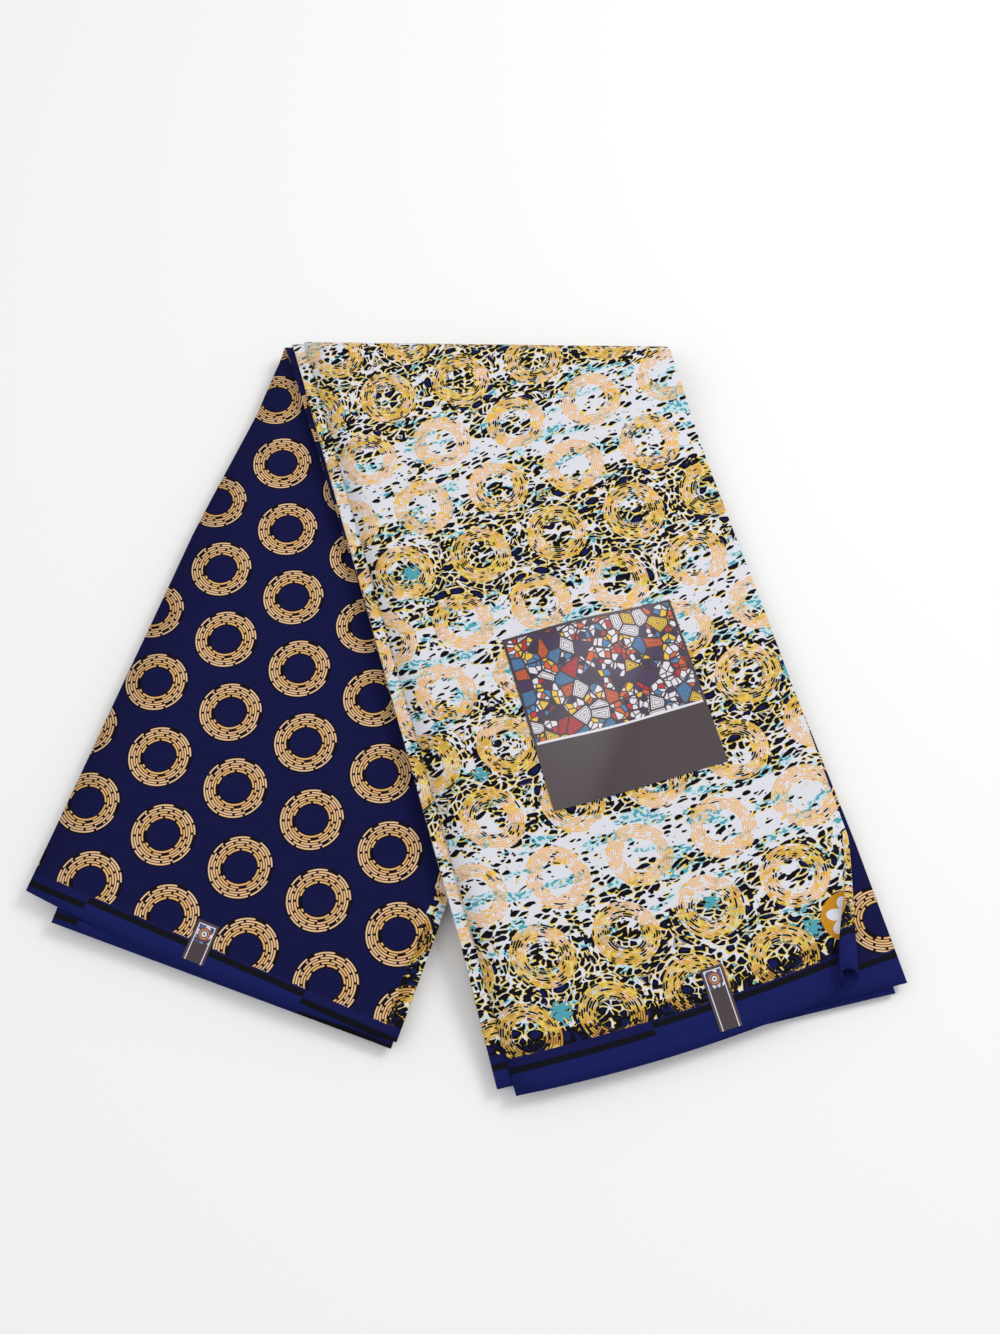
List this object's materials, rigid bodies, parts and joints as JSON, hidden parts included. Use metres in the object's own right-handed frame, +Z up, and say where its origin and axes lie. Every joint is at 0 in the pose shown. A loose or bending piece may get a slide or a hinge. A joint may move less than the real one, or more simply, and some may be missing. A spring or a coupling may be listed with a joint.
{
  "type": "folded printed wrapper cloth",
  "caption": "Printed cotton wrapper cloth folded to and fro into a strip and folded over once into a V, with paper labels stuck on top.",
  "frame": {"origin": "centre of the bounding box's underside, on the surface the cloth lies on", "axes": "+Z up from the surface; +X along the fold between the two legs, towards the upper leg's side; +Y from the open ends of the legs towards the fold"},
  "size_m": [0.643, 0.6228, 0.0269],
  "materials": {
    "cloth": "matte",
    "label": "satin"
  },
  "bodies": {
    "root": {"folded_cloth": "cloth", "large_label": "label", "small_label_lower_leg": "label", "small_label_upper_leg": "label"}
  },
  "joints": []
}
